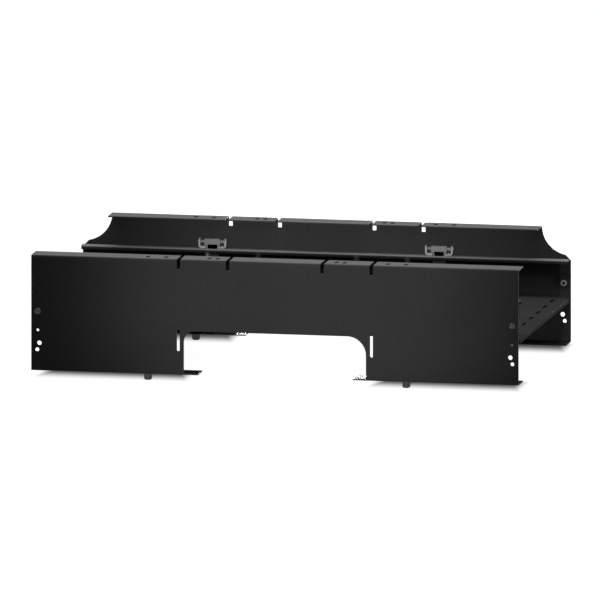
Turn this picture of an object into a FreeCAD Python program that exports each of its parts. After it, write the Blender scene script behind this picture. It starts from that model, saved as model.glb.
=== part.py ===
import FreeCAD, Part
import math
import os

V = FreeCAD.Vector

# Cable trough for the roof of a 600 mm wide equipment enclosure. Two folded sheet walls stand on
# locating pins and carry a folded cable pan between them, with a pair of spring latches on the pan's
# rear ledge. X runs along the trough, +Y to the rear, +Z up, and Z = 0 is the foot of the pins.
# Driving sizes, in millimetres.

# Sheet and the walls' outline
LENGTH = 598.0
DEPTH = 330.0
SHEET = 1.5
BEND = 1.0
FLANGE = 30.0
WALL_RISE = 38.7

# Opening at the foot of each wall, with its flange tabs and the slots beside it
CUT_WIDTH = 223.6
CUT_HEIGHT = 53.7
CUT_RADIUS_LEFT = 13.0
CUT_RADIUS_RIGHT = 23.0
FOOT_TAB = 17.0
SLOT_OUTSET = 6.7
SLOT_RISE = 2.0
SLOT_LENGTH = 26.7
SLOT_WIDTH = 3.6

# Divider notches and hang slots along the top flanges, measured from the middle of the wall
NOTCH_PLACES = (58.0, 118.3)
NOTCH_WIDTH = 4.6
NOTCH_DROP = 12.0
HANG_SLOT_PLACES = (73.0, 83.0, 136.0, 158.3)
HANG_SLOT_WIDTH = 5.5
HANG_SLOT_LENGTH = 10.0

# Joining holes at each wall end: distance in from the end, height, diameter
JOIN_HOLES = ((8.0, 49.6, 3.4), (10.0, 33.9, 5.6), (7.5, 25.9, 4.8))

# Swept upper corners of the rear wall
CORNER_SHOULDER = 3.5
CORNER_INSET = 0.2
CORNER_CHAMFER = 6.5

# Locating pins under the bottom flanges
PIN_DIAMETER = 10.0
PIN_HEIGHT = 9.0
PIN_CHAMFER = 1.2
PIN_SPACING = 317.0
PIN_INSET = 15.0
PIN_NECK_DIAMETER = 6.0
PIN_RIVET_DIAMETER = 9.0
PIN_RIVET_HEIGHT = 1.2

# Cable pan between the walls
PAN_HEIGHT = 48.6
SIDE_GAP = 3.0
LEDGE_WIDTH = 12.0
LEDGE_RETURN = 5.0
FLOOR_LIP = 5.0
FLOOR_LIP_RELIEF = 3.0
TIE_SLOT_INSET = 17.0
TIE_SLOT_LENGTH = 22.0
TIE_SLOT_WIDTH = 4.0
TIE_SLOT_PITCH = 44.0
TIE_SLOT_COUNT = 7

# Screwed fixings between the pan's dimpled ends and the walls
FIXING_INSET = 8.0
FIXING_RISE = 17.4
DIMPLE_RADIUS = 12.5
SCREW_DIAMETER = 4.0
SCREW_HEAD_DIAMETER = 9.0
SCREW_HEAD_HEIGHT = 2.8
SCREW_END = 1.0
NUT_ACROSS_FLATS = 7.0
NUT_HEIGHT = 3.2

# Spring latches on the rear ledge
LATCH_PLACE = 139.0
LATCH_OPENING = 16.0
BRACKET_SHEET = 2.5
BRACKET_DEPTH = 10.4
EAR_SPACING = 29.2
EAR_HEIGHT = 12.0
EAR_ROUND = 3.0
EAR_WALL_GAP = 0.6
PIVOT_OUT = 3.0
PIVOT_RISE = 8.0
PIVOT_DIAMETER = 2.5
PIVOT_HEAD_DIAMETER = 4.2
PIVOT_HEAD_HEIGHT = 0.6
LEVER_WIDTH = 19.2
LEVER_HEIGHT = 11.9
LEVER_WALL = 1.2
LEVER_ROUND = 1.0
HUB_DIAMETER = 5.0
BOSS_DIAMETER = 4.2
CHEEK_WIDTH = 3.6
MOUTH_WIDTH = 14.5
MOUTH_HEIGHT = 4.9
ARM_WIDTH = 2.2
ARM_THICKNESS = 3.0
FINGER_WIDTH = 15.7
FINGER_DROP = 13.0
FINGER_HEIGHT = 7.5
FINGER_ROUND = 1.0
SPRING_WIRE = 0.8
SPRING_TURNS = 8
SPRING_COIL_GAP = 0.1
SPRING_SEAT_INSET = 1.9
RIVET_DIAMETER = 2.4
RIVET_HEAD_DIAMETER = 3.6
RIVET_HEAD_HEIGHT = 0.7
RIVET_TAIL_HEIGHT = 1.2
RIVET_INSET = 5.0

# Clearances
HOLE_CLEARANCE = 0.25
RIVET_CLEARANCE = 0.05
RUNNING_CLEARANCE = 0.05
SEAT_CLEARANCE = 0.1
COIL_CLEARANCE = 0.25
SIDE_CLEARANCE = 0.3
ARM_CLEARANCE = 0.3

# Levels and faces that several pieces share
FOOT = PIN_HEIGHT
FLOOR_UNDER = FOOT + CUT_HEIGHT
FLOOR_TOP = FLOOR_UNDER + SHEET
LEDGE_TOP = FLOOR_UNDER + PAN_HEIGHT
WALL_TOP = LEDGE_TOP + WALL_RISE
FIXING_LEVEL = FLOOR_TOP + FIXING_RISE
HALF_LENGTH = LENGTH / 2
HALF_DEPTH = DEPTH / 2
INNER_FACE = HALF_DEPTH - SHEET
PAN_FACE = INNER_FACE - SIDE_GAP
LEDGE_EDGE = PAN_FACE - LEDGE_WIDTH
OUTER_BEND = BEND + SHEET
CUT_EDGE = CUT_WIDTH / 2
CUTTER_DEPTH = 4 * max(SHEET, BRACKET_SHEET)
TOUCHING = 1e-6
ALONG = V(1, 0, 0)
REARWARD = V(0, 1, 0)
UP = V(0, 0, 1)


def rounded_line(corners, radii):
    """Wire through right-angled corners, each rounded to its own radius."""
    edges = []
    start = corners[0]
    for before, corner, after, radius in zip(corners, corners[1:], corners[2:], radii):
        back = (before - corner).normalize()
        ahead = (after - corner).normalize()
        arc_start = corner + back * radius
        arc_end = corner + ahead * radius
        middle = corner + (back + ahead) * radius * (1 - math.sqrt(0.5))
        edges.append(Part.LineSegment(start, arc_start).toShape())
        edges.append(Part.Arc(arc_start, middle, arc_end).toShape())
        start = arc_end
    edges.append(Part.LineSegment(start, corners[-1]).toShape())
    return Part.Wire(edges)


def bent_sheet(corners, run, thickness):
    """Sheet folded along the outer line of its section and drawn out along run."""
    outer_radius = BEND + thickness
    line = rounded_line(corners, [outer_radius] * (len(corners) - 2))
    section = line.makeOffset2D(-thickness, 0, True, True)
    return section.extrude(run)


def plate(points, depth):
    """Flat plate with straight edges through the points."""
    return Part.Face(Part.makePolygon(points + points[:1])).extrude(depth)


def slot(first, last, width, depth):
    """Round-ended slot between two end centres, centred on its depth."""
    run = (last - first).normalize()
    side = run.cross(depth).normalize() * (width / 2)
    cap = run * (width / 2)
    edges = [
        Part.LineSegment(first + side, last + side).toShape(),
        Part.Arc(last + side, last + cap, last - side).toShape(),
        Part.LineSegment(last - side, first - side).toShape(),
        Part.Arc(first - side, first - cap, first + side).toShape(),
    ]
    face = Part.Face(Part.Wire(edges))
    face.translate(depth * -0.5)
    return face.extrude(depth)


def drill(centre, diameter, depth):
    """Round hole centred on its depth."""
    return Part.makeCylinder(diameter / 2, depth.Length, centre - depth * 0.5, depth)


def level(edge, height):
    """Whether an edge lies flat at a height."""
    return abs(edge.BoundBox.ZMin - height) < TOUCHING and abs(edge.BoundBox.ZMax - height) < TOUCHING


def turned(points, centre, axis):
    """Solid of revolution through points about an axis."""
    profile = Part.Face(Part.makePolygon(points + points[:1]))
    return profile.revolve(centre, axis, 360)


def opening_cut(y_outer, inward):
    """Opening at the wall's foot: full web height, with the flange left as tabs at both sides."""
    below = FOOT - SHEET
    corners = [
        V(-CUT_EDGE, y_outer, below),
        V(-CUT_EDGE, y_outer, FLOOR_UNDER),
        V(CUT_EDGE, y_outer, FLOOR_UNDER),
        V(CUT_EDGE, y_outer, below),
    ]
    arch = rounded_line(corners, [CUT_RADIUS_LEFT, CUT_RADIUS_RIGHT])
    sill = Part.LineSegment(corners[-1], corners[0]).toShape()
    face = Part.Face(Part.Wire(arch.Edges + [sill]))
    web_cut = face.extrude(V(0, inward * OUTER_BEND, 0))
    tab_edge = CUT_EDGE - FOOT_TAB
    low_y = min(y_outer, y_outer + inward * FLANGE)
    flange_cut = Part.makeBox(2 * tab_edge, FLANGE, CUTTER_DEPTH, V(-tab_edge, low_y, below))
    return web_cut.fuse(flange_cut)


def wall(side):
    """One wall: a C-section sheet with inward flanges, side -1 at the front and +1 at the rear."""
    inward = -side
    y_outer = side * HALF_DEPTH
    y_tip = y_outer + inward * FLANGE
    y_flange = y_outer + inward * FLANGE / 2
    corners = [
        V(-HALF_LENGTH, y_tip, WALL_TOP),
        V(-HALF_LENGTH, y_outer, WALL_TOP),
        V(-HALF_LENGTH, y_outer, FOOT),
        V(-HALF_LENGTH, y_tip, FOOT),
    ]
    if side > 0:
        corners.reverse()
    body = bent_sheet(corners, ALONG * LENGTH, SHEET)
    through_web = REARWARD * CUTTER_DEPTH
    through_flange = UP * CUTTER_DEPTH
    cuts = [opening_cut(y_outer, inward)]
    slot_top = FLOOR_UNDER + SLOT_RISE - SLOT_WIDTH / 2
    slot_low = FLOOR_UNDER + SLOT_RISE - SLOT_LENGTH + SLOT_WIDTH / 2
    for hand in (-1, 1):
        slot_x = hand * (CUT_EDGE + SLOT_OUTSET)
        slot_foot = V(slot_x, y_outer, slot_low)
        slot_head = V(slot_x, y_outer, slot_top)
        cuts.append(slot(slot_foot, slot_head, SLOT_WIDTH, through_web))
        for place in NOTCH_PLACES:
            corner = V(hand * place - NOTCH_WIDTH / 2, min(y_outer, y_tip), WALL_TOP - NOTCH_DROP)
            cuts.append(Part.makeBox(NOTCH_WIDTH, FLANGE, NOTCH_DROP, corner))
        hang_reach = REARWARD * ((HANG_SLOT_LENGTH - HANG_SLOT_WIDTH) / 2)
        for place in HANG_SLOT_PLACES:
            middle = V(hand * place, y_flange, WALL_TOP)
            cuts.append(slot(middle - hang_reach, middle + hang_reach, HANG_SLOT_WIDTH, through_flange))
        for inset, height, diameter in JOIN_HOLES:
            centre = V(hand * (HALF_LENGTH - inset), y_outer, FOOT + height)
            cuts.append(drill(centre, diameter, through_web))
        screw_hole = V(hand * (HALF_LENGTH - FIXING_INSET), y_outer, FIXING_LEVEL)
        cuts.append(drill(screw_hole, SCREW_DIAMETER + 2 * HOLE_CLEARANCE, through_web))
        pin_hole = V(hand * PIN_SPACING / 2, y_outer + inward * PIN_INSET, FOOT)
        cuts.append(drill(pin_hole, PIN_NECK_DIAMETER + 2 * RIVET_CLEARANCE, through_flange))
    return body.cut(cuts)


def swept_corner(hand):
    """Waste at one upper end of the rear wall: a concave quarter sweep ending in a chamfered shoulder."""
    radius = WALL_RISE - CORNER_SHOULDER
    centre_x = HALF_LENGTH - CORNER_INSET
    start_x = centre_x - radius
    end_x = HALF_LENGTH - CORNER_CHAMFER
    end_drop = math.sqrt(radius ** 2 - (centre_x - end_x) ** 2)
    half_way = radius * math.sqrt(0.5)
    beyond = HALF_LENGTH + SHEET
    above = WALL_TOP + SHEET
    shoulder_top = WALL_TOP - end_drop
    shoulder_low = shoulder_top - CORNER_CHAMFER

    def at(x, z):
        return V(hand * x, HALF_DEPTH + SHEET, z)

    sweep_middle = at(centre_x - half_way, WALL_TOP - half_way)
    sweep = Part.Arc(at(start_x, WALL_TOP), sweep_middle, at(end_x, shoulder_top))
    outside = Part.makePolygon([
        at(end_x, shoulder_top),
        at(HALF_LENGTH, shoulder_low),
        at(beyond, shoulder_low),
        at(beyond, above),
        at(start_x, above),
        at(start_x, WALL_TOP),
    ])
    outline = Part.Wire([sweep.toShape()] + outside.Edges)
    return Part.Face(outline).extrude(REARWARD * -(FLANGE + 2 * SHEET))


def roof_pin(hand, side):
    """Turned locating pin, its neck passed through the bottom flange and swaged over."""
    axis = V(hand * PIN_SPACING / 2, side * (HALF_DEPTH - PIN_INSET), 0)
    radius = PIN_DIAMETER / 2
    swage_low = FOOT + SHEET
    swage_top = swage_low + PIN_RIVET_HEIGHT
    points = [
        axis,
        axis + V(radius - PIN_CHAMFER, 0, 0),
        axis + V(radius, 0, PIN_CHAMFER),
        axis + V(radius, 0, FOOT),
        axis + V(PIN_NECK_DIAMETER / 2, 0, FOOT),
        axis + V(PIN_NECK_DIAMETER / 2, 0, swage_low),
        axis + V(PIN_RIVET_DIAMETER / 2, 0, swage_low),
        axis + V(PIN_NECK_DIAMETER / 2, 0, swage_top),
        axis + V(0, 0, swage_top),
    ]
    return turned(points, axis, UP)


def fixing_axis(hand, side):
    """Point where a fixing's axis meets the wall's inner face, and the way into the trough."""
    return V(hand * (HALF_LENGTH - FIXING_INSET), side * INNER_FACE, FIXING_LEVEL), V(0, -side, 0)


def dimple(hand, side):
    """Dished seat pressed from the pan's side to the wall, with the screw hole in its floor."""
    centre, inward = fixing_axis(hand, side)
    flat = DIMPLE_RADIUS - SIDE_GAP
    lean = SHEET * (math.sqrt(2) - 1)
    rim = DIMPLE_RADIUS + SHEET
    hole = SCREW_DIAMETER / 2 + HOLE_CLEARANCE

    def at(radius, depth):
        return centre + ALONG * radius + inward * depth

    points = [
        at(hole, 0),
        at(flat + lean, 0),
        at(flat + lean + SIDE_GAP, SIDE_GAP),
        at(rim, SIDE_GAP),
        at(rim, SIDE_GAP + SHEET),
        at(DIMPLE_RADIUS, SIDE_GAP + SHEET),
        at(flat, SHEET),
        at(hole, SHEET),
    ]
    dish = turned(points, centre, inward)
    blank = drill(centre + inward * (SIDE_GAP + SHEET / 2), 2 * rim, inward * SHEET)
    return blank, dish


def floor_lip(hand):
    """End of the floor turned down as a stiffening lip, clear of the pan's sides."""
    half_width = PAN_FACE - OUTER_BEND - FLOOR_LIP_RELIEF
    strip = 2 * OUTER_BEND
    root = HALF_LENGTH - strip
    corners = [
        V(hand * root, -half_width, FLOOR_TOP),
        V(hand * HALF_LENGTH, -half_width, FLOOR_TOP),
        V(hand * HALF_LENGTH, -half_width, FLOOR_TOP - FLOOR_LIP),
    ]
    if hand < 0:
        corners.reverse()
    lip = bent_sheet(corners, REARWARD * (2 * half_width), SHEET)
    low_x = min(hand * root, hand * HALF_LENGTH)
    blank_half = half_width + FLOOR_LIP_RELIEF
    blank = Part.makeBox(strip, 2 * blank_half, SHEET, V(low_x, -blank_half, FLOOR_UNDER))
    return blank, lip


def cable_pan():
    """The pan: one folded sheet with floor, sides, inward ledges and down-turned returns."""
    x = -HALF_LENGTH
    return_foot = LEDGE_TOP - LEDGE_RETURN
    corners = [
        V(x, -LEDGE_EDGE, return_foot),
        V(x, -LEDGE_EDGE, LEDGE_TOP),
        V(x, -PAN_FACE, LEDGE_TOP),
        V(x, -PAN_FACE, FLOOR_UNDER),
        V(x, PAN_FACE, FLOOR_UNDER),
        V(x, PAN_FACE, LEDGE_TOP),
        V(x, LEDGE_EDGE, LEDGE_TOP),
        V(x, LEDGE_EDGE, return_foot),
    ]
    body = bent_sheet(corners, ALONG * LENGTH, SHEET)
    waste = []
    added = []
    for hand in (-1, 1):
        blank, lip = floor_lip(hand)
        waste.append(blank)
        added.append(lip)
        for side in (-1, 1):
            blank, dish = dimple(hand, side)
            waste.append(blank)
            added.append(dish)
        tie_x = hand * (HALF_LENGTH - TIE_SLOT_INSET)
        for number in range(TIE_SLOT_COUNT):
            tie_y = (number - (TIE_SLOT_COUNT - 1) / 2) * TIE_SLOT_PITCH
            reach = REARWARD * ((TIE_SLOT_LENGTH - TIE_SLOT_WIDTH) / 2)
            middle = V(tie_x, tie_y, FLOOR_TOP)
            waste.append(slot(middle - reach, middle + reach, TIE_SLOT_WIDTH, UP * CUTTER_DEPTH))
        waste.append(latch_gate(hand * LATCH_PLACE, gate_front(), LEDGE_TOP - 2 * SHEET, 3 * SHEET))
        for rivet_x in rivet_places(hand * LATCH_PLACE):
            waste.append(drill(V(rivet_x, rivet_line(), LEDGE_TOP), rivet_hole(), UP * CUTTER_DEPTH))
    folded = body.cut(waste).fuse(added)
    ends = Part.makeBox(LENGTH, DEPTH, WALL_TOP, V(-HALF_LENGTH, -HALF_DEPTH, 0))
    return folded.common(ends).removeSplitter()


def end_screw(hand, side):
    """Domed machine screw put in from outside the wall."""
    centre, inward = fixing_axis(hand, side)
    head_face = -SHEET
    radius = SCREW_DIAMETER / 2
    head_radius = SCREW_HEAD_DIAMETER / 2
    tip = SHEET + NUT_HEIGHT + SCREW_END

    def at(out, depth):
        return centre + UP * out + inward * depth

    crown = head_face - SCREW_HEAD_HEIGHT
    sphere = (SCREW_HEAD_HEIGHT ** 2 + head_radius ** 2) / (2 * SCREW_HEAD_HEIGHT)
    half_angle = math.asin(head_radius / sphere) / 2
    shoulder = at(sphere * math.sin(half_angle), crown + sphere * (1 - math.cos(half_angle)))
    dome = Part.Arc(at(0, crown), shoulder, at(head_radius, head_face))
    shank = Part.makePolygon([
        at(head_radius, head_face),
        at(radius, head_face),
        at(radius, tip - SCREW_END / 2),
        at(radius - SCREW_END / 2, tip),
        at(0, tip),
        at(0, crown),
    ])
    outline = Part.Wire([dome.toShape()] + shank.Edges)
    return Part.Face(outline).revolve(centre, inward, 360)


def end_nut(hand, side):
    """Hexagon nut on the dimple's floor, inside the trough."""
    centre, inward = fixing_axis(hand, side)
    seat = centre + inward * SHEET
    corner_radius = NUT_ACROSS_FLATS / math.sqrt(3)
    sides = 6
    turn = 2 * math.pi / sides
    points = [
        seat + ALONG * (corner_radius * math.cos(k * turn)) + UP * (corner_radius * math.sin(k * turn))
        for k in range(sides)
    ]
    block = plate(points, inward * NUT_HEIGHT)
    thread = SCREW_DIAMETER + 2 * RIVET_CLEARANCE
    return block.cut(drill(seat + inward * (NUT_HEIGHT / 2), thread, inward * (2 * NUT_HEIGHT)))


def pivot(latch_x):
    """Middle of a latch's pivot pin."""
    return V(latch_x, PAN_FACE - SHEET - PIVOT_OUT, LEDGE_TOP + PIVOT_RISE)


def coil_radius():
    """Radius of the spring's coil about the pivot, at the middle of its wire."""
    return PIVOT_DIAMETER / 2 + SEAT_CLEARANCE + SPRING_WIRE / 2


def arm_back():
    """Rear face of the lever's lower arms."""
    return pivot(0).y + ARM_THICKNESS / 2


def gate_front():
    """Front line of the gate in the ledge, clear of the arms when the lever is fully open."""
    opening = math.radians(LATCH_OPENING)
    swing = ARM_THICKNESS / 2 * math.cos(opening) + (PIVOT_RISE + SHEET) * math.sin(opening)
    return pivot(0).y - swing - ARM_CLEARANCE


def latch_gate(latch_x, front, low, height):
    """Waste of the gate that the lever's lower arms pass through, from a front line to behind the arms."""
    width = FINGER_WIDTH + 2 * ARM_CLEARANCE
    back = arm_back() + ARM_CLEARANCE
    return Part.makeBox(width, back - front, height, V(latch_x - width / 2, front, low))


def rivet_places(latch_x):
    """Lengthwise places of a bracket's two rivets, midway between the lever and the ears' bends."""
    out = (LEVER_WIDTH / 2 + EAR_SPACING / 2 - BEND) / 2
    return latch_x - out, latch_x + out


def rivet_line():
    """Depth of the bracket rivets, on the flat of the ledge."""
    return PAN_FACE - RIVET_INSET


def rivet_hole():
    """Diameter of the holes for the bracket rivets."""
    return RIVET_DIAMETER + 2 * RIVET_CLEARANCE


def latch_bracket(latch_x):
    """U-shaped sheet bracket on the ledge, its two ears carrying the pivot pin."""
    outer = EAR_SPACING / 2 + BRACKET_SHEET
    ear_top = LEDGE_TOP + EAR_HEIGHT
    back = INNER_FACE - EAR_WALL_GAP
    front = back - BRACKET_DEPTH
    corners = [
        V(latch_x + outer, back, ear_top),
        V(latch_x + outer, back, LEDGE_TOP),
        V(latch_x - outer, back, LEDGE_TOP),
        V(latch_x - outer, back, ear_top),
    ]
    body = bent_sheet(corners, V(0, front - back, 0), BRACKET_SHEET)
    ear_corners = [
        edge for edge in body.Edges
        if level(edge, ear_top) and edge.BoundBox.YLength < TOUCHING
    ]
    body = body.makeFillet(EAR_ROUND, ear_corners)
    cuts = [latch_gate(latch_x, front - SHEET, LEDGE_TOP, BRACKET_SHEET)]
    pin_hole = PIVOT_DIAMETER + 2 * RIVET_CLEARANCE
    cuts.append(drill(pivot(latch_x), pin_hole, ALONG * (2 * outer + BRACKET_SHEET)))
    for rivet_x in rivet_places(latch_x):
        cuts.append(drill(V(rivet_x, rivet_line(), LEDGE_TOP), rivet_hole(), UP * CUTTER_DEPTH))
    return body.cut(cuts)


def latch_lever(latch_x):
    """Cast lever: a block, hollow behind for the spring, with two arms to a finger pad under the ledge."""
    axis = pivot(latch_x)
    half = LEVER_WIDTH / 2
    pocket_half = half - CHEEK_WIDTH
    finger_half = FINGER_WIDTH / 2
    arm = ARM_THICKNESS / 2
    bore_diameter = PIVOT_DIAMETER + 2 * RUNNING_CLEARANCE
    coil_room = coil_radius() + SPRING_WIRE / 2 + COIL_CLEARANCE
    skin = coil_room + LEVER_WALL
    behind = 2 * skin
    crown = LEVER_HEIGHT - PIVOT_RISE
    base = BRACKET_SHEET + 2 * SIDE_CLEARANCE - PIVOT_RISE
    mouth_top = MOUTH_HEIGHT - PIVOT_RISE
    finger_low = -FINGER_DROP - PIVOT_RISE
    finger_top = finger_low + FINGER_HEIGHT
    arm_top = -bore_diameter / 2 - SIDE_CLEARANCE

    def bar(left, right, front, back, low, top):
        corner = axis + V(left, front, low)
        return Part.makeBox(right - left, back - front, top - low, corner)

    block = bar(-half, half, -skin, arm, base, crown)
    crown_edges = [
        edge for edge in block.Edges
        if level(edge, axis.z + crown) and edge.BoundBox.YMin < axis.y
    ]
    block = block.makeFillet(LEVER_ROUND, crown_edges)
    barrel = drill(axis, HUB_DIAMETER, ALONG * LEVER_WIDTH)
    bosses = drill(axis, BOSS_DIAMETER, ALONG * (EAR_SPACING - 2 * SIDE_CLEARANCE))
    mouth = bar(-MOUTH_WIDTH / 2, MOUTH_WIDTH / 2, -behind, behind, 2 * base, mouth_top)
    pocket = bar(-pocket_half, pocket_half, -coil_room, behind, mouth_top, crown - LEVER_WALL)
    leg_line = coil_radius() - SPRING_WIRE / 2 - SEAT_CLEARANCE
    leg_way = bar(-pocket_half, pocket_half, leg_line, behind, mouth_top, 2 * crown)
    pad = bar(-finger_half, finger_half, -arm, arm, finger_low, finger_top)
    pad_edges = [
        edge for edge in pad.Edges
        if edge.BoundBox.YMax < axis.y and edge.BoundBox.XLength > finger_half
    ]
    pad = pad.makeFillet(FINGER_ROUND, pad_edges)
    arm_foot = (finger_low + finger_top) / 2
    left_arm = bar(-finger_half, ARM_WIDTH - finger_half, -arm, arm, arm_foot, arm_top)
    right_arm = bar(finger_half - ARM_WIDTH, finger_half, -arm, arm, arm_foot, arm_top)
    hollow = block.fuse([barrel, bosses]).cut([mouth, pocket, leg_way])
    lever = hollow.fuse([left_arm, right_arm, pad])
    return lever.cut(drill(axis, bore_diameter, ALONG * EAR_SPACING)).removeSplitter()


def latch_pin(latch_x):
    """Headed pivot pin, peened over at its inner end."""
    axis = pivot(latch_x)
    outward = ALONG if latch_x > 0 else -ALONG
    face = EAR_SPACING / 2 + BRACKET_SHEET
    radius = PIVOT_DIAMETER / 2
    head = PIVOT_HEAD_DIAMETER / 2
    peen = (head + radius) / 2
    end = face + PIVOT_HEAD_HEIGHT

    def at(out, along):
        return axis + UP * out + outward * along

    points = [
        at(0, -end),
        at(radius, -end),
        at(peen, -face),
        at(radius, -face),
        at(radius, face),
        at(head, face),
        at(head, end),
        at(0, end),
    ]
    return turned(points, axis, outward)


def latch_spring(latch_x):
    """Torsion spring coiled on the pivot pin in the lever's hollow, with legs on bracket and lever."""
    axis = pivot(latch_x)
    wire = SPRING_WIRE / 2
    coil = coil_radius()
    pitch = SPRING_WIRE + SPRING_COIL_GAP
    seat_out = INNER_FACE - EAR_WALL_GAP - SPRING_SEAT_INSET - axis.y
    seat_rise = BRACKET_SHEET + SEAT_CLEARANCE + wire - PIVOT_RISE
    seat_reach = math.hypot(seat_out, seat_rise)
    leave = math.atan2(seat_rise, seat_out) + math.acos(coil / seat_reach)
    width = pitch * (SPRING_TURNS - leave / (2 * math.pi))
    helix = Part.makeHelix(pitch, width, coil)
    lie_along = FreeCAD.Rotation(REARWARD, UP, ALONG, "ZXY")
    start_turn = FreeCAD.Rotation(ALONG, math.degrees(leave))
    helix.Placement = FreeCAD.Placement(ALONG * (-width / 2), start_turn.multiply(lie_along))
    turns = helix.Edges[0]
    first_run = turns.tangentAt(turns.FirstParameter)
    last_run = turns.tangentAt(turns.LastParameter)
    fixed_root = turns.valueAt(turns.FirstParameter)
    fixed_end = fixed_root - first_run * math.sqrt(seat_reach ** 2 - coil ** 2)
    free_root = turns.valueAt(turns.LastParameter)
    free_end = free_root + last_run * (LEVER_HEIGHT - PIVOT_RISE - SPRING_WIRE)
    fixed_leg = Part.LineSegment(fixed_end, fixed_root).toShape()
    free_leg = Part.LineSegment(free_root, free_end).toShape()
    sweep = Part.BRepOffsetAPI.MakePipeShell(Part.Wire([fixed_leg, turns, free_leg]))
    sweep.setBiNormalMode(ALONG)
    sweep.add(Part.Wire(Part.makeCircle(wire, fixed_end, first_run)))
    sweep.build()
    sweep.makeSolid()
    spring = sweep.shape()
    spring.translate(axis)
    return spring


def latch_rivets():
    """Rivets that hold both brackets to the ledge."""
    rivets = []
    radius = RIVET_DIAMETER / 2
    head = RIVET_HEAD_DIAMETER / 2
    for hand in (-1, 1):
        for rivet_x in rivet_places(hand * LATCH_PLACE):
            axis = V(rivet_x, rivet_line(), LEDGE_TOP)
            seat = BRACKET_SHEET
            tail = -SHEET
            points = [
                axis + V(0, 0, tail - RIVET_TAIL_HEIGHT),
                axis + V(radius, 0, tail - RIVET_TAIL_HEIGHT),
                axis + V(head, 0, tail),
                axis + V(radius, 0, tail),
                axis + V(radius, 0, seat),
                axis + V(head, 0, seat),
                axis + V(radius, 0, seat + RIVET_HEAD_HEIGHT),
                axis + V(0, 0, seat + RIVET_HEAD_HEIGHT),
            ]
            rivets.append(turned(points, axis, UP))
    return Part.makeCompound(rivets)


os.makedirs("parts", exist_ok=True)
pieces = {
    "front_wall": wall(-1),
    "rear_wall": wall(1).cut([swept_corner(-1), swept_corner(1)]),
    "cable_pan": cable_pan(),
    "latch_rivets": latch_rivets(),
}
for hand, hand_name in ((-1, "left"), (1, "right")):
    latch_x = hand * LATCH_PLACE
    pieces["latch_bracket_" + hand_name] = latch_bracket(latch_x)
    pieces["latch_lever_" + hand_name] = latch_lever(latch_x)
    pieces["latch_pin_" + hand_name] = latch_pin(latch_x)
    pieces["latch_spring_" + hand_name] = latch_spring(latch_x)
    for side, side_name in ((-1, "front"), (1, "rear")):
        corner_name = side_name + "_" + hand_name
        pieces["roof_pin_" + corner_name] = roof_pin(hand, side)
        pieces["end_screw_" + corner_name] = end_screw(hand, side)
        pieces["end_nut_" + corner_name] = end_nut(hand, side)
for name, shape in pieces.items():
    shape.exportStep("parts/" + name + ".step")
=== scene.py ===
import bmesh
import bpy
import math
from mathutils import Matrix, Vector


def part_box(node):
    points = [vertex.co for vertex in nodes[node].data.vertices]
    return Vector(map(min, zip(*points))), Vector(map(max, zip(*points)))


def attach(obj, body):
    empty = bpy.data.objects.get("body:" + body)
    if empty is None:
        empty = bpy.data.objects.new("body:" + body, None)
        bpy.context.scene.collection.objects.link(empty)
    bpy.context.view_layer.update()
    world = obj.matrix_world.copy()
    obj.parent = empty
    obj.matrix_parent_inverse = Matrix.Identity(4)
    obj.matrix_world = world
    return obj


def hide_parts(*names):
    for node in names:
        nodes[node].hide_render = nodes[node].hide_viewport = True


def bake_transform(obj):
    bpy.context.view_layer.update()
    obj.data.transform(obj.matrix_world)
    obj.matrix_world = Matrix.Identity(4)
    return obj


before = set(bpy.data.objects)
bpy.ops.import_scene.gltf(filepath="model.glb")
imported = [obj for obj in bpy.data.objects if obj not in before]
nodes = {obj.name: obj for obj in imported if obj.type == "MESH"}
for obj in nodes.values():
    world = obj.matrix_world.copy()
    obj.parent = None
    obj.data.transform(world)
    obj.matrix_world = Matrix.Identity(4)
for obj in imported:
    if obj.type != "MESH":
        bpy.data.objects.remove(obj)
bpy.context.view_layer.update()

# Walls and cable pan. Each is one steel sheet of 1.5 mm, punched flat, folded on a press brake and then
# powder coated black, so the coat is thick, finely rippled like orange peel, and thinner on the cut edges;
# the cut edges' paler grey is partly that thinner coat and partly a painted edge highlight.
SHEET = 0.0015
COAT_BLACK = (0.0250, 0.0250, 0.0258, 1.0)
COAT_FADED = (0.0300, 0.0300, 0.0308, 1.0)
# Paler grey of the cut edges: partly thinner coat, partly a painted edge highlight.
EDGE_THIN_COAT_AND_HIGHLIGHT = (0.060, 0.060, 0.062, 1.0)
WALL_EDGE_COVER = 0.7
PAN_EDGE_COVER = 0.05
EDGE_WIDTH = 0.0009
EDGE_LIKENESS = 0.80
FLAT_LIKENESS = 0.995
BEVEL_SAMPLES = 6
# Paler speckled patches on the top faces of the flanges.
FLANGE_TOP_PATCH_GREY = (0.046, 0.046, 0.047, 1.0)
FLANGE_TOP_PATCHES_PER_METRE = 700.0
FLANGE_TOP_PATCH_STRETCH = (0.5, 1.0, 1.0)
FLANGE_TOP_PATCH_REACH = (0.48, 0.68)
# Painted highlight: a paler grey on the pan's ledges, standing in for the light caught along them.
LEDGE_PAINTED_HIGHLIGHT = (0.180, 0.180, 0.184, 1.0)
LEDGE_INNER = 0.147
LEDGE_OUTER = 0.1595
LEDGE_ROUND = 0.0018
WALL_SHINE = 0.025
PAN_SHINE = 0.001
COAT_ROUGHNESS = (0.27, 0.38)
CLOUDS_PER_METRE = 9.0
SPECKS_PER_METRE = 2600.0
PEEL_PER_METRE = 620.0
PEEL_DEPTH = 0.00003
WHOLE = (0.0, 1.0)


def new_material(name):
    """Material with its shader, and its own object coordinates to hang patterns on."""
    material = bpy.data.materials.new(name)
    material.use_nodes = True
    tree = material.node_tree
    place = tree.nodes.new("ShaderNodeTexCoord")
    return material, tree, tree.nodes["Principled BSDF"], place.outputs["Object"]


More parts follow.
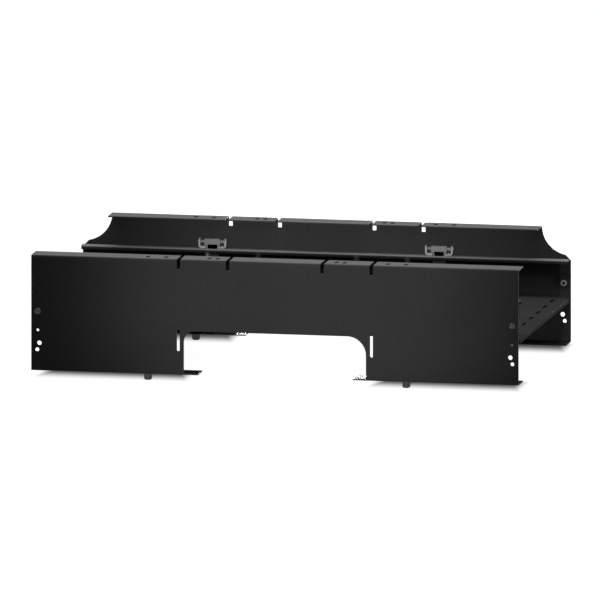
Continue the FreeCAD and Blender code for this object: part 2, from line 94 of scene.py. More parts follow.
def grain(tree, place, per_metre, detail, stretch=(1.0, 1.0, 1.0)):
    """Noise of so many features per metre, drawn out along the axes with a low stretch."""
    mapping = tree.nodes.new("ShaderNodeMapping")
    mapping.inputs["Scale"].default_value = stretch
    noise = tree.nodes.new("ShaderNodeTexNoise")
    noise.inputs["Scale"].default_value = per_metre
    noise.inputs["Detail"].default_value = detail
    tree.links.new(place, mapping.inputs["Vector"])
    tree.links.new(mapping.outputs["Vector"], noise.inputs["Vector"])
    return noise.outputs["Fac"]


def spread(tree, value, low, high, reach=(0.3, 0.7)):
    """A pattern's values, spread between a low and a high result."""
    remap = tree.nodes.new("ShaderNodeMapRange")
    remap.inputs["From Min"].default_value = reach[0]
    remap.inputs["From Max"].default_value = reach[1]
    remap.inputs["To Min"].default_value = low
    remap.inputs["To Max"].default_value = high
    tree.links.new(value, remap.inputs["Value"])
    return remap.outputs["Result"]


def blend_colour(tree, share, first, second):
    """Two colours mixed by a pattern, where each is a constant or another mix."""
    mix = tree.nodes.new("ShaderNodeMix")
    mix.data_type = "RGBA"
    tree.links.new(share, mix.inputs["Factor"])
    for colour, socket in ((first, mix.inputs["A"]), (second, mix.inputs["B"])):
        if isinstance(colour, tuple):
            socket.default_value = colour
        else:
            tree.links.new(colour, socket)
    return mix.outputs["Result"]


def ripple(tree, height, depth, normal=None):
    """Surface relief from a pattern, of a given depth in metres."""
    bump = tree.nodes.new("ShaderNodeBump")
    bump.inputs["Strength"].default_value = 1.0
    bump.inputs["Distance"].default_value = depth
    tree.links.new(height, bump.inputs["Height"])
    if normal is not None:
        tree.links.new(normal, bump.inputs["Normal"])
    return bump.outputs["Normal"]


def edge_share(tree, width):
    """How close a point lies to a sharp edge, from 0 on a flat to 1 at the edge, and the softened normal."""
    rounding = tree.nodes.new("ShaderNodeBevel")
    rounding.samples = BEVEL_SAMPLES
    rounding.inputs["Radius"].default_value = width
    surface = tree.nodes.new("ShaderNodeNewGeometry")
    likeness = tree.nodes.new("ShaderNodeVectorMath")
    likeness.operation = "DOT_PRODUCT"
    tree.links.new(rounding.outputs["Normal"], likeness.inputs[0])
    tree.links.new(surface.outputs["Normal"], likeness.inputs[1])
    share = spread(tree, likeness.outputs["Value"], 1.0, 0.0, (EDGE_LIKENESS, FLAT_LIKENESS))
    return share, rounding.outputs["Normal"]


def join_values(tree, operation, first, second):
    """Arithmetic on two values, where each is a constant or another result."""
    node = tree.nodes.new("ShaderNodeMath")
    node.operation = operation
    for value, socket in ((first, node.inputs[0]), (second, node.inputs[1])):
        if isinstance(value, float):
            socket.default_value = value
        else:
            tree.links.new(value, socket)
    return node.outputs["Value"]


def coordinate(tree, place, axis):
    """One coordinate of a point, along X, Y or Z."""
    split = tree.nodes.new("ShaderNodeSeparateXYZ")
    tree.links.new(place, split.inputs["Vector"])
    return split.outputs[axis]


def painted_ledge_highlight(tree, place):
    """1 on the flat and upper round of the pan's ledges, painted paler as a highlight, and 0 elsewhere."""
    height = coordinate(tree, place, "Z")
    ledge_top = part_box("cable_pan")[1].z
    round_foot = ledge_top - LEDGE_ROUND
    high = spread(tree, height, 0.0, 1.0, (round_foot, round_foot + LEDGE_ROUND / 2))
    across = join_values(tree, "ABSOLUTE", coordinate(tree, place, "Y"), 0.0)
    inside = join_values(tree, "LESS_THAN", across, LEDGE_OUTER)
    outside = join_values(tree, "GREATER_THAN", across, LEDGE_INNER)
    level = join_values(tree, "LESS_THAN", height, ledge_top + LEDGE_ROUND)
    strip = join_values(tree, "MULTIPLY", join_values(tree, "MULTIPLY", inside, outside), level)
    return join_values(tree, "MULTIPLY", strip, high)


def flange_top_patch_share(tree, place):
    """1 in paler speckled patches along the top faces of the flanges, and 0 elsewhere."""
    flange_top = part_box("front_wall")[1].z
    flange_middle = flange_top - SHEET / 2
    high = spread(tree, coordinate(tree, place, "Z"), 0.0, 1.0, (flange_middle, flange_top))
    specks = grain(tree, place, FLANGE_TOP_PATCHES_PER_METRE, detail=4.0, stretch=FLANGE_TOP_PATCH_STRETCH)
    flange_patches = spread(tree, specks, 0.0, 1.0, FLANGE_TOP_PATCH_REACH)
    return join_values(tree, "MULTIPLY", high, flange_patches)


def powder_coat(name, shine, edge_cover):
    """Black powder coat, cloudy and orange-peeled: paler patches on flange tops, a painted ledge highlight,
    edges partly thin coat, partly painted highlight.
    """
    material, tree, shader, place = new_material(name)
    cloud = spread(tree, grain(tree, place, CLOUDS_PER_METRE, detail=4.0), 0.0, 1.0)
    speckle = grain(tree, place, SPECKS_PER_METRE, detail=2.0)
    edge, soft_normal = edge_share(tree, EDGE_WIDTH)
    colour = blend_colour(tree, cloud, COAT_BLACK, COAT_FADED)
    # Paler speckled patches on the flange tops.
    colour = blend_colour(tree, flange_top_patch_share(tree, place), colour, FLANGE_TOP_PATCH_GREY)
    # Painted highlight along the pan's ledges.
    colour = blend_colour(tree, painted_ledge_highlight(tree, place), colour, LEDGE_PAINTED_HIGHLIGHT)
    # Pale cut edges: partly thinner coat, partly a painted edge highlight.
    colour = blend_colour(tree, spread(tree, edge, 0.0, edge_cover, WHOLE), colour, EDGE_THIN_COAT_AND_HIGHLIGHT)
    tree.links.new(colour, shader.inputs["Base Color"])
    tree.links.new(spread(tree, speckle, *COAT_ROUGHNESS), shader.inputs["Roughness"])
    peel = ripple(tree, grain(tree, place, PEEL_PER_METRE, detail=2.0), PEEL_DEPTH, soft_normal)
    tree.links.new(peel, shader.inputs["Normal"])
    shader.inputs["Specular IOR Level"].default_value = shine
    return material


def finish_node(name, material):
    """Gives a solid of the frame its finish."""
    mesh = nodes[name].data
    mesh.materials.clear()
    mesh.materials.append(material)


wall_coat = powder_coat("black_powder_coat", WALL_SHINE, WALL_EDGE_COVER)
for wall in ("front_wall", "rear_wall"):
    finish_node(wall, wall_coat)
finish_node("cable_pan", powder_coat("dull_powder_coat", PAN_SHINE, PAN_EDGE_COVER))

# Locating pins. Four turned steel pins hang from the bottom flanges, each with a chamfered foot, a groove
# below the flange and a neck that is swaged over inside. They are blackened to match the sheet.
PIN_FOOT_CHAMFER = 0.0012
PIN_GROOVE = 0.0005
PIN_NECK = 0.0030
PIN_SWAGE = 0.0045
PIN_SWAGE_SHOULDER = 0.0041
PIN_SWAGE_CROWN = 0.0027
STEEL_BLACK = (0.012, 0.012, 0.013, 1.0)
STEEL_RUBBED = (0.036, 0.035, 0.034, 1.0)
STEEL_SHINE = 0.45
STEEL_EDGE_WIDTH = 0.0004
STEEL_ROUGHNESS = (0.17, 0.27)
STEEL_RUB = 0.5
TURNING_STRETCH = (0.2, 0.2, 4.0)
TURNING_DEPTH = 0.00002
SAME_POINT = 1e-6
CORNERS = [(side, hand) for side in ("front", "rear") for hand in ("left", "right")]
RIGHTWARD = Vector((1, 0, 0))
REARWARD = Vector((0, 1, 0))
UP = Vector((0, 0, 1))


def blackened_steel():
    """Blackened turned steel, rubbed brighter along its edges."""
    material, tree, shader, place = new_material("black_steel")
    edge, soft_normal = edge_share(tree, STEEL_EDGE_WIDTH)
    rubbed = spread(tree, grain(tree, place, per_metre=420.0, detail=3.0), 0.0, STEEL_RUB)
    colour = blend_colour(tree, rubbed, STEEL_BLACK, STEEL_RUBBED)
    colour = blend_colour(tree, edge, colour, STEEL_RUBBED)
    tree.links.new(colour, shader.inputs["Base Color"])
    dulling = grain(tree, place, per_metre=1500.0, detail=2.0)
    tree.links.new(spread(tree, dulling, *STEEL_ROUGHNESS), shader.inputs["Roughness"])
    turning = grain(tree, place, per_metre=900.0, detail=2.0, stretch=TURNING_STRETCH)
    tree.links.new(ripple(tree, turning, TURNING_DEPTH, soft_normal), shader.inputs["Normal"])
    shader.inputs["Specular IOR Level"].default_value = STEEL_SHINE
    return material


def add_piece(name, bm, material, crease=35.0):
    """Closes a finished mesh into a named piece with smooth rounds and crisp corners."""
    mesh = bpy.data.meshes.new(name)
    bm.to_mesh(mesh)
    bm.free()
    mesh.materials.append(material)
    mesh.shade_smooth()
    mesh.set_sharp_from_angle(angle=math.radians(crease))
    piece = bpy.data.objects.new(name, mesh)
    bpy.context.scene.collection.objects.link(piece)
    return piece


def stand_in(piece, node, body):
    """Puts a finished piece in the place of a solid of the frame, on its body, and hides that solid."""
    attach(piece, body)
    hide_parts(node)


def turn_outline(bm, outline, centre, axis, out, steps=48):
    """Spins an outline of (radius, distance along the axis) pairs into a closed turned shape."""
    corners = [bm.verts.new(centre + out * radius + axis * along) for radius, along in outline]
    edges = [bm.edges.new(pair) for pair in zip(corners, corners[1:])]
    bmesh.ops.spin(bm, geom=corners + edges, cent=centre, axis=axis, angle=math.tau, steps=steps,
                   use_merge=True)
    bmesh.ops.remove_doubles(bm, verts=bm.verts, dist=SAME_POINT)
    bmesh.ops.recalc_face_normals(bm, faces=bm.faces)


black_steel = blackened_steel()
for side, hand in CORNERS:
    node = "roof_pin_" + side + "_" + hand
    low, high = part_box(node)
    radius = (high.x - low.x) / 2
    foot = Vector(((low.x + high.x) / 2, (low.y + high.y) / 2, low.z))
    flange_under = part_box("front_wall")[0].z - low.z
    swage_low = flange_under + SHEET
    swage_top = high.z - low.z
    outline = [
        (0.0, 0.0),
        (radius - PIN_FOOT_CHAMFER, 0.0),
        (radius, PIN_FOOT_CHAMFER),
        (radius, flange_under - 3 * PIN_GROOVE),
        (radius - PIN_GROOVE, flange_under - 2 * PIN_GROOVE),
        (radius - PIN_GROOVE, flange_under - PIN_GROOVE),
        (radius, flange_under),
        (PIN_NECK, flange_under),
        (PIN_NECK, swage_low),
        (PIN_SWAGE, swage_low),
        (PIN_SWAGE_SHOULDER, (swage_low + swage_top) / 2),
        (PIN_SWAGE_CROWN, swage_top),
        (0.0, swage_top),
    ]
    bm = bmesh.new()
    turn_outline(bm, outline, foot, UP, RIGHTWARD)
    pin = add_piece("locating_pin_" + side + "_" + hand, bm, black_steel)
    stand_in(pin, node, "trough")

# End screws. Four button-head machine screws in blackened steel hold the pan's dished ends to the walls.
# Each is put in from outside, has a hexagon socket in its dome, and shows the end of its thread inside.
HEAD_HEIGHT = 0.0028
SHANK_RADIUS = 0.0020
SOCKET_HALF = 0.0015
SOCKET_RIM = 0.0019
SOCKET_DEPTH = 0.0016
SOCKET_LEAD = 0.00012
DOME_STEPS = 8
THREAD_PITCH = 0.0007
THREAD_DEPTH = 0.00038
THREAD_LENGTH = 0.0021
THREAD_RINGS = 18
SCREW_POINT = 0.0005
HEX_SIDES = 6
HEX_TURN = math.tau / HEX_SIDES


def around_axis(point, centre, axis, out):
    """A point's offset out from an axis, how far along it lies, and its turn about it."""
    offset = point - centre
    along = offset.dot(axis)
    flat = offset - axis * along
    return flat, along, math.atan2(flat.dot(axis.cross(out)), flat.dot(out))


def screw_outline(head_radius, length):
    """Half section from the floor of the socket over the dome and down the shank to the point."""
    sphere = (HEAD_HEIGHT ** 2 + head_radius ** 2) / (2 * HEAD_HEIGHT)
    first = math.asin(SOCKET_RIM / sphere)
    last = math.asin(head_radius / sphere)
    rim = sphere * (1 - math.cos(first))
    outline = [(0.0, SOCKET_DEPTH), (SOCKET_HALF, SOCKET_DEPTH), (SOCKET_HALF, rim + SOCKET_LEAD)]
    for step in range(DOME_STEPS + 1):
        lean = first + (last - first) * step / DOME_STEPS
        outline.append((sphere * math.sin(lean), sphere * (1 - math.cos(lean))))
    outline.append((SHANK_RADIUS, HEAD_HEIGHT))
    thread_start = length - SCREW_POINT - THREAD_LENGTH
    for ring in range(THREAD_RINGS + 1):
        outline.append((SHANK_RADIUS, thread_start + THREAD_LENGTH * ring / THREAD_RINGS))
    outline.append((SHANK_RADIUS - SCREW_POINT, length))
    outline.append((0.0, length))
    return outline


def cut_socket_and_thread(bm, crown, axis, out, length):
    """Squares the round socket off to a hexagon and winds a thread into the end of the shank."""
    for vert in bm.verts:
        flat, along, turn = around_axis(vert.co, crown, axis, out)
        if abs(flat.length - SOCKET_HALF) < SAME_POINT and along < HEAD_HEIGHT:
            lean = (turn + HEX_TURN / 2) % HEX_TURN - HEX_TURN / 2
            vert.co += flat * (1 / math.cos(lean) - 1)
        past_point = length - SCREW_POINT - along
        on_thread = -SAME_POINT < past_point < THREAD_LENGTH - SAME_POINT
        if abs(flat.length - SHANK_RADIUS) < SAME_POINT and on_thread:
            phase = (along / THREAD_PITCH + turn / math.tau) % 1.0
            vert.co -= flat.normalized() * (THREAD_DEPTH * (1 - abs(2 * phase - 1)))


for side, hand in CORNERS:
    node = "end_screw_" + side + "_" + hand
    low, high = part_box(node)
    inward = REARWARD if side == "front" else -REARWARD
    crown_y = low.y if side == "front" else high.y
    crown = Vector(((low.x + high.x) / 2, crown_y, (low.z + high.z) / 2))
    length = high.y - low.y
    bm = bmesh.new()
    turn_outline(bm, screw_outline((high.x - low.x) / 2, length), crown, inward, RIGHTWARD)
    cut_socket_and_thread(bm, crown, inward, RIGHTWARD, length)
    screw = add_piece("button_screw_" + side + "_" + hand, bm, black_steel)
    stand_in(screw, node, "trough")

# End nuts. Four plain hexagon nuts on the screws, zinc plated, sit in the pan's dished ends. Their blanks
# are turned with a chamfer on both faces before the six flats are cut.
NUT_BORE = 0.00205
NUT_BORE_CHAMFER = 0.0003
NUT_FACE_SHARE = 0.95
NUT_CORNER_DROP = 0.00045
ZINC_PALE = (0.25, 0.25, 0.255, 1.0)
ZINC_DULL = (0.15, 0.15, 0.155, 1.0)
ZINC_METAL = 0.25
ZINC_EDGE_WIDTH = 0.0003
ZINC_EDGE_COVER = 0.6
ZINC_ROUGHNESS = (0.45, 0.62)
BRUSH_STRETCH = (0.15, 1.0, 1.0)
BRUSH_DEPTH = 0.000012
FLAT_CUT = 1e-7


def zinc_plate():
    """Dull grey zinc plating: fine blotches of paler and duller metal over a faintly brushed surface."""
    material, tree, shader, place = new_material("zinc_plated_steel")
    edge, soft_normal = edge_share(tree, ZINC_EDGE_WIDTH)
    blotch = spread(tree, grain(tree, place, per_metre=650.0, detail=5.0), 0.0, 1.0)
    colour = blend_colour(tree, blotch, ZINC_DULL, ZINC_PALE)
    colour = blend_colour(tree, spread(tree, edge, 0.0, ZINC_EDGE_COVER, WHOLE), colour, ZINC_PALE)
    tree.links.new(colour, shader.inputs["Base Color"])
    dulling = grain(tree, place, per_metre=1800.0, detail=3.0)
    tree.links.new(spread(tree, dulling, *ZINC_ROUGHNESS), shader.inputs["Roughness"])
    brushed = grain(tree, place, per_metre=1500.0, detail=2.0, stretch=BRUSH_STRETCH)
    tree.links.new(ripple(tree, brushed, BRUSH_DEPTH, soft_normal), shader.inputs["Normal"])
    shader.inputs["Metallic"].default_value = ZINC_METAL
    return material


zinc = zinc_plate()
for side, hand in CORNERS:
    node = "end_nut_" + side + "_" + hand
    low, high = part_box(node)
    inward = REARWARD if side == "front" else -REARWARD
    seat_y = low.y if side == "front" else high.y
    seat = Vector(((low.x + high.x) / 2, seat_y, (low.z + high.z) / 2))
    half_flats = (high.z - low.z) / 2
    height = high.y - low.y
    corner = (high.x - low.x) / 2
    face = half_flats * NUT_FACE_SHARE
    outline = [
        (NUT_BORE, NUT_BORE_CHAMFER),
        (NUT_BORE + NUT_BORE_CHAMFER, 0.0),
        (face, 0.0),
        (corner, NUT_CORNER_DROP),
        (corner, height - NUT_CORNER_DROP),
        (face, height),
        (NUT_BORE + NUT_BORE_CHAMFER, height),
        (NUT_BORE, height - NUT_BORE_CHAMFER),
        (NUT_BORE, NUT_BORE_CHAMFER),
    ]
    bm = bmesh.new()
    turn_outline(bm, outline, seat, inward, RIGHTWARD)
    for flat in range(HEX_SIDES):
        turn = (flat + 0.5) * HEX_TURN
        way = RIGHTWARD * math.cos(turn) + UP * math.sin(turn)
        everything = bm.verts[:] + bm.edges[:] + bm.faces[:]
        cut = bmesh.ops.bisect_plane(bm, geom=everything, dist=FLAT_CUT, plane_co=seat + way * half_flats,
                                     plane_no=way, clear_outer=True)
        rim = [item for item in cut["geom_cut"] if isinstance(item, bmesh.types.BMEdge)]
        bmesh.ops.edgeloop_fill(bm, edges=rim)
    bmesh.ops.recalc_face_normals(bm, faces=bm.faces)
    nut = add_piece("hexagon_nut_" + side + "_" + hand, bm, zinc, crease=20.0)
    stand_in(nut, node, "trough")

# Latch brackets and their rivets. Each bracket is a small zinc-plated strip bent up into two ears that carry
# the pivot pin. Two domed rivets hold it down on the pan's rear ledge, peened over below.
BRACKET_EDGE = 0.00022
RIVET_SHANK = 0.0012
RIVET_HEAD = 0.0018
RIVET_HEAD_HEIGHT = 0.0007
RIVET_TAIL_HEIGHT = 0.0012
RIVET_STEPS = 6
RIVET_SIDES = 32
SHARP_TURN = math.radians(30)
FLAT_TURN = math.radians(1)
HANDS = ("left", "right")


def softened_copy(node, width, segments):
    """Copy of a frame solid with its sharp edges rounded."""
    bm = bmesh.new()
    bm.from_mesh(nodes[node].data)
    bmesh.ops.remove_doubles(bm, verts=bm.verts, dist=SAME_POINT)
    bmesh.ops.dissolve_limit(bm, angle_limit=FLAT_TURN, verts=bm.verts, edges=bm.edges)
    sharp = [edge for edge in bm.edges if edge.calc_face_angle() > SHARP_TURN]
    bmesh.ops.bevel(bm, geom=sharp, offset=width, affect="EDGES", segments=segments, profile=0.5,
                    material=-1)
    return bm


def dome_outline(radius, base, height, steps):
    """Quarter of a flattened round, from its rim at a level up to its crown on the axis."""
    turns = [math.pi / 2 * step / steps for step in range(steps)]
    rounded = [(radius * math.cos(turn), base + height * math.sin(turn)) for turn in turns]
    return rounded + [(0.0, base + height)]


for hand in HANDS:
    node = "latch_bracket_" + hand
    bracket = add_piece("spring_latch_bracket_" + hand, softened_copy(node, BRACKET_EDGE, segments=2), zinc)
    stand_in(bracket, node, "trough")

rivet_low, rivet_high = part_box("latch_rivets")
rivet_top = rivet_high.z - rivet_low.z
tail = dome_outline(RIVET_HEAD, 0.0, RIVET_TAIL_HEIGHT, RIVET_STEPS)
rivet_outline = [(radius, RIVET_TAIL_HEIGHT - along) for radius, along in reversed(tail)]
rivet_outline.append((RIVET_SHANK, RIVET_TAIL_HEIGHT))
rivet_outline.append((RIVET_SHANK, rivet_top - RIVET_HEAD_HEIGHT))
rivet_outline += dome_outline(RIVET_HEAD, rivet_top - RIVET_HEAD_HEIGHT, RIVET_HEAD_HEIGHT, RIVET_STEPS)
bm = bmesh.new()
for hand in HANDS:
    low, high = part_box("latch_bracket_" + hand)
    bracket_x = (low.x + high.x) / 2
    outermost = max(abs(rivet_low.x), abs(rivet_high.x)) - RIVET_HEAD
    out = outermost - abs(bracket_x)
    for rivet_x in (bracket_x - out, bracket_x + out):
        foot = Vector((rivet_x, (rivet_low.y + rivet_high.y) / 2, rivet_low.z))
        turn_outline(bm, rivet_outline, foot, UP, RIGHTWARD, RIVET_SIDES)
rivets = add_piece("domed_rivets", bm, zinc)
stand_in(rivets, "latch_rivets", "trough")

# Latch levers. Each is a small zinc casting left grey and rough: a block with a wide mouth that turns on the
# pivot, and two arms that go down through the ledge to a finger pad. Its edges are rounded by the mould.
LEVER_EDGE = 0.00030
CAST_GREY = (0.115, 0.115, 0.117, 1.0)
CAST_PALE = (0.170, 0.170, 0.173, 1.0)
CAST_METAL = 0.1
CAST_ROUGHNESS = (0.55, 0.72)
SAND_DEPTH = 0.00003


def cast_zinc():
    """Unfinished zinc casting: mottled grey with a fine sandy skin, rubbed paler along the edges."""
    material, tree, shader, place = new_material("grey_cast_zinc")
    edge, soft_normal = edge_share(tree, ZINC_EDGE_WIDTH)
    mottle = spread(tree, grain(tree, place, per_metre=380.0, detail=5.0), 0.0, 1.0)
    colour = blend_colour(tree, mottle, CAST_GREY, CAST_PALE)
    colour = blend_colour(tree, edge, colour, CAST_PALE)
    tree.links.new(colour, shader.inputs["Base Color"])
    dulling = grain(tree, place, per_metre=1400.0, detail=3.0)
    tree.links.new(spread(tree, dulling, *CAST_ROUGHNESS), shader.inputs["Roughness"])
    sand = grain(tree, place, per_metre=2400.0, detail=3.0)
    tree.links.new(ripple(tree, sand, SAND_DEPTH, soft_normal), shader.inputs["Normal"])
    shader.inputs["Metallic"].default_value = CAST_METAL
    return material


cast_grey = cast_zinc()
for hand in HANDS:
    node = "latch_lever_" + hand
    lever = add_piece("spring_latch_lever_" + hand, softened_copy(node, LEVER_EDGE, segments=3), cast_grey)
    stand_in(lever, node, "latch_" + hand)

# Latch springs. Each is a torsion spring of drawn steel wire, wound on the pivot pin in the lever's hollow
# back. Its lower leg rests on the bracket behind the pin, and its upper leg stands behind the lever's roof.
WIRE_RADIUS = 0.00040
COIL_RADIUS = 0.00175
COIL_PITCH = 0.0009
COIL_TURNS = 8
TURN_STEPS = 36
WIRE_SIDES = 12
SEAT_OUT = 0.0050
SEAT_RISE = -0.0050
FREE_LEG = 0.0031
SPRING_GREY = (0.30, 0.29, 0.28, 1.0)
SPRING_BRIGHT = (0.48, 0.47, 0.45, 1.0)
WIRE_ROUGHNESS = (0.22, 0.36)
DRAWN_STRETCH = (1.0, 0.3, 0.3)
WIRE_SEAM = 1e-7


def spring_wire():
    """Drawn spring wire: bright steel streaked darker along the drawing."""
    material, tree, shader, place = new_material("spring_steel")
    drawn = grain(tree, place, per_metre=2200.0, detail=4.0, stretch=DRAWN_STRETCH)
    streak = spread(tree, drawn, 0.0, 1.0)
    tree.links.new(blend_colour(tree, streak, SPRING_GREY, SPRING_BRIGHT), shader.inputs["Base Color"])
    tree.links.new(spread(tree, streak, *WIRE_ROUGHNESS, WHOLE), shader.inputs["Roughness"])
    shader.inputs["Metallic"].default_value = 1.0
    return material


def carry_wire(bm, ring, run):
    """Draws the open end of a wire on along a straight run, and gives its new end."""
    drawn = bmesh.ops.extrude_edge_only(bm, edges=ring)["geom"]
    ends = [item for item in drawn if isinstance(item, bmesh.types.BMVert)]
    bmesh.ops.translate(bm, verts=ends, vec=run)
    return [edge for edge in bm.edges if edge.verts[0] in ends and edge.verts[1] in ends]


steel_wire = spring_wire()
for hand in HANDS:
    node = "latch_spring_" + hand
    low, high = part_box("latch_pin_" + hand)
    pin_middle = (low + high) / 2
    bracket_low, bracket_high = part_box("latch_bracket_" + hand)
    pivot = Vector(((bracket_low.x + bracket_high.x) / 2, pin_middle.y, pin_middle.z))
    leave = math.atan2(SEAT_RISE, SEAT_OUT) + math.acos(COIL_RADIUS / math.hypot(SEAT_OUT, SEAT_RISE))
    wound = math.tau * COIL_TURNS - leave
    half_width = RIGHTWARD * (COIL_PITCH * wound / math.tau / 2)
    root_out = REARWARD * math.cos(leave) + UP * math.sin(leave)
    first_run = UP * math.cos(leave) - REARWARD * math.sin(leave)
    fixed_leg = math.sqrt(SEAT_OUT ** 2 + SEAT_RISE ** 2 - COIL_RADIUS ** 2)
    fixed_end = pivot - half_width + root_out * COIL_RADIUS - first_run * fixed_leg
    bm = bmesh.new()
    bmesh.ops.create_circle(bm, segments=WIRE_SIDES, radius=WIRE_RADIUS)
    bmesh.ops.rotate(bm, verts=bm.verts, matrix=UP.rotation_difference(first_run).to_matrix())
    bmesh.ops.translate(bm, verts=bm.verts, vec=fixed_end)
    ring = carry_wire(bm, bm.edges[:], first_run * fixed_leg)
    steps = round(TURN_STEPS * wound / math.tau)
    coil = bmesh.ops.spin(bm, geom=ring, cent=pivot, axis=RIGHTWARD, dvec=half_width * 2 / steps,
                          angle=wound, steps=steps)
    ring = [item for item in coil["geom_last"] if isinstance(item, bmesh.types.BMEdge)]
    carry_wire(bm, ring, UP * FREE_LEG)
    bmesh.ops.remove_doubles(bm, verts=bm.verts, dist=WIRE_SEAM)
    cut_ends = [edge for edge in bm.edges if edge.is_boundary]
    bmesh.ops.holes_fill(bm, edges=cut_ends, sides=WIRE_SIDES)
    bmesh.ops.recalc_face_normals(bm, faces=bm.faces)
    spring = add_piece("torsion_spring_" + hand, bm, steel_wire, crease=50.0)
    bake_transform(spring)
    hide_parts(node)

# Latch pins. Each pivot pin is a headed steel pin, zinc plated, pushed through both ears, the lever and the
# spring from the outer end, and peened over at the inner end.
PIVOT_RADIUS = 0.00125
PIVOT_HEAD = 0.0021
PIVOT_HEAD_HEIGHT = 0.0006
PIVOT_HEAD_ROUND = 0.0002
PEEN_RADIUS = 0.00168
PEEN_STEPS = 5
PIVOT_SIDES = 32

for hand in HANDS:
    node = "latch_pin_" + hand
    low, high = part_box(node)
    outward = RIGHTWARD if hand == "right" else -RIGHTWARD
    middle = (low + high) / 2
    length = high.x - low.x
    start = middle - outward * (length / 2)
    peen = dome_outline(PEEN_RADIUS, 0.0, PIVOT_HEAD_HEIGHT, PEEN_STEPS)
    outline = [(radius, PIVOT_HEAD_HEIGHT - along) for radius, along in reversed(peen)]
    outline += [
        (PIVOT_RADIUS, PIVOT_HEAD_HEIGHT),
        (PIVOT_RADIUS, length - PIVOT_HEAD_HEIGHT),
        (PIVOT_HEAD, length - PIVOT_HEAD_HEIGHT),
        (PIVOT_HEAD, length - PIVOT_HEAD_ROUND),
        (PIVOT_HEAD - PIVOT_HEAD_ROUND, length),
        (0.0, length),
    ]
    bm = bmesh.new()
    turn_outline(bm, outline, start, outward, UP, PIVOT_SIDES)
    pivot_pin = add_piece("pivot_pin_" + hand, bm, zinc)
    stand_in(pivot_pin, node, "trough")

# Stage: a pale floor that runs out of the picture, under an even sky and five lamps: one above, a strip and
# a beam in front, a fill and one behind. The floor glows white to the eye, with the legs' shadow painted
# into it.
FLOOR_HALF = 8.0
FLOOR_PALE = (0.20, 0.20, 0.20, 1.0)
FLOOR_GLOW = 0.98
# The legs' painted shadow: how dark it gets and where its patches lie on the floor.
PAINTED_SHADOW_GLOW = 0.05
LEGS_OUT = 0.204
LEGS_HALF_LENGTH = 0.076
END_FADE = 0.020
FRONT_ROW = -0.105
REAR_ROW = 0.185
FRONT_FADE = 0.060
BACK_FADE = 0.030
SKY_LIGHT = 0.20
WHITE = (1.0, 1.0, 1.0, 1.0)
FLOOR_ROUGHNESS = 0.9


def seen_directly(tree):
    """1 for what the camera sees, straight, reflected or through glass, and 0 for light that spreads."""
    path = tree.nodes.new("ShaderNodeLightPath")
    reflected = join_values(tree, "MAXIMUM", path.outputs["Is Camera Ray"], path.outputs["Is Glossy Ray"])
    return join_values(tree, "MAXIMUM", reflected, path.outputs["Is Transmission Ray"])


def past_row(tree, depth, row):
    """0 on the darkest line of the painted shadow behind a wall's foot, rising to 1 to the front and more
    steeply to the back.
    """
    before = spread(tree, depth, 1.0, 0.0, (row - FRONT_FADE, row))
    behind = spread(tree, depth, 0.0, 1.0, (row, row + BACK_FADE))
    return join_values(tree, "MAXIMUM", before, behind)


def painted_leg_shadow(tree, place):
    """The floor's glow with a painted shadow: low in a patch behind the foot of each leg, and full from a
    little way out.
    """
    depth = coordinate(tree, place, "Y")
    from_middle = join_values(tree, "ABSOLUTE", coordinate(tree, place, "X"), 0.0)
    from_legs = join_values(tree, "ABSOLUTE", join_values(tree, "SUBTRACT", from_middle, LEGS_OUT), 0.0)
    past_end = spread(tree, from_legs, 0.0, 1.0, (LEGS_HALF_LENGTH, LEGS_HALF_LENGTH + END_FADE))
    past_front = past_row(tree, depth, FRONT_ROW)
    past_rear = past_row(tree, depth, REAR_ROW)
    past_rows = join_values(tree, "MINIMUM", past_front, past_rear)
    past_shade = join_values(tree, "MAXIMUM", past_end, past_rows)
    glow = spread(tree, past_shade, PAINTED_SHADOW_GLOW, FLOOR_GLOW, WHOLE)
    glow.node.interpolation_type = "SMOOTHSTEP"
    return glow


floor_paint, tree, shader, place = new_material("floor_paint")
shader.inputs["Base Color"].default_value = FLOOR_PALE
shader.inputs["Roughness"].default_value = FLOOR_ROUGHNESS
shader.inputs["Specular IOR Level"].default_value = 0.0
shader.inputs["Emission Color"].default_value = WHITE
# The floor's glow, with the legs' painted shadow as darker patches in it.
glow = painted_leg_shadow(tree, place)
tree.links.new(join_values(tree, "MULTIPLY", glow, seen_directly(tree)), shader.inputs["Emission Strength"])
bm = bmesh.new()
bmesh.ops.create_grid(bm, x_segments=1, y_segments=1, size=FLOOR_HALF)
floor = add_piece("floor", bm, floor_paint)

world = bpy.data.worlds.new("studio")
world.use_nodes = True
bpy.context.scene.world = world
sky = world.node_tree.nodes["Background"]
sky.inputs["Color"].default_value = WHITE
sky_level = spread(world.node_tree, seen_directly(world.node_tree), SKY_LIGHT, 1.0, WHOLE)
world.node_tree.links.new(sky_level, sky.inputs["Strength"])


def hang_lamp(lamp, place, aim):
    """Puts a lamp at a place, turns it to a point and keeps it out of the picture."""
    stand = bpy.data.objects.new(lamp.name, lamp)
    stand.location = place
    stand.rotation_euler = (aim - place).to_track_quat("-Z", "Y").to_euler()
    stand.visible_camera = False
    bpy.context.scene.collection.objects.link(stand)


def look_from(azimuth, elevation):
    """Direction from the object to a viewer at so many degrees right of the front, and above it."""
    flat = RIGHTWARD * math.sin(math.radians(azimuth)) - REARWARD * math.cos(math.radians(azimuth))
    return flat * math.cos(math.radians(elevation)) + UP * math.sin(math.radians(elevation))


def strip_lamp(name, length, width, power, place, aim):
    """Soft rectangular lamp, in metres and watts, at a place and turned to a point."""
    lamp = bpy.data.lights.new(name, "AREA")
    lamp.shape = "RECTANGLE"
    lamp.size = length
    lamp.size_y = width
    lamp.energy = power
    hang_lamp(lamp, place, aim)


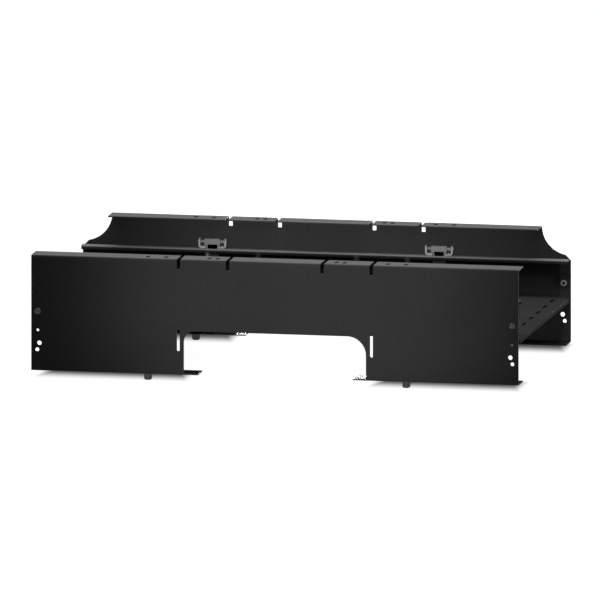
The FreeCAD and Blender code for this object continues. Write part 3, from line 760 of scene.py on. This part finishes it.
def spot_lamp(name, cone, radius, power, place, aim):
    """Lamp with a round beam that fades all the way to its edge, a cone of so many degrees across."""
    lamp = bpy.data.lights.new(name, "SPOT")
    lamp.energy = power
    lamp.shadow_soft_size = radius
    lamp.spot_size = math.radians(cone)
    lamp.spot_blend = 1.0
    hang_lamp(lamp, place, aim)


OVER_PAN = Vector((0.0, 0.03, 0.60))
OVER_FRONT = Vector((0.0, -0.25, 0.75))
FRONT_RIGHT = Vector((0.60, -0.60, 0.030))
BEHIND = Vector((0.0, 1.4, 0.10))
PAN_MIDDLE = Vector((0.0, 0.06, 0.10))
FRONT_FACE = Vector((0.0, -0.16, 0.10))
REAR_FOOT = Vector((0.262, 0.163, 0.026))
REAR_FACE = Vector((0.0, 0.16, 0.08))
BEAM_AIM = Vector((0.024, 0.0, 0.10))
BEAM_DISTANCE = 8.0
BEAM_AZIMUTH = 4.0
BEAM_ELEVATION = 8.4

strip_lamp("overhead_lamp", length=0.9, width=0.12, power=4.3, place=OVER_PAN, aim=PAN_MIDDLE)
strip_lamp("front_strip", length=0.7, width=0.012, power=1.2, place=OVER_FRONT, aim=FRONT_FACE)
spot_lamp("low_fill", cone=10.0, radius=0.02, power=6.0, place=FRONT_RIGHT, aim=REAR_FOOT)
strip_lamp("back_lamp", length=0.8, width=0.08, power=14.0, place=BEHIND, aim=REAR_FACE)
beam_place = BEAM_AIM + look_from(BEAM_AZIMUTH, BEAM_ELEVATION) * BEAM_DISTANCE
spot_lamp("front_beam", cone=4.75, radius=0.05, power=2150.0, place=beam_place, aim=BEAM_AIM)

# Camera: parallel projection, since the long edges stay parallel in the picture, from the front and a little
# to the right and above.
AZIMUTH = 11.08
ELEVATION = 9.355
VIEW_WIDTH = 0.7227
VIEW_CENTRE = Vector((-0.001375, 0.0, 0.0776))
VIEW_DISTANCE = 3.0

camera_data = bpy.data.cameras.new("camera")
camera_data.type = "ORTHO"
camera_data.ortho_scale = VIEW_WIDTH
camera = bpy.data.objects.new("camera", camera_data)
backward = look_from(AZIMUTH, ELEVATION)
camera.location = VIEW_CENTRE + backward * VIEW_DISTANCE
camera.rotation_euler = (-backward).to_track_quat("-Z", "Y").to_euler()
bpy.context.scene.collection.objects.link(camera)
bpy.context.scene.camera = camera
bpy.context.scene.view_settings.view_transform = "Standard"
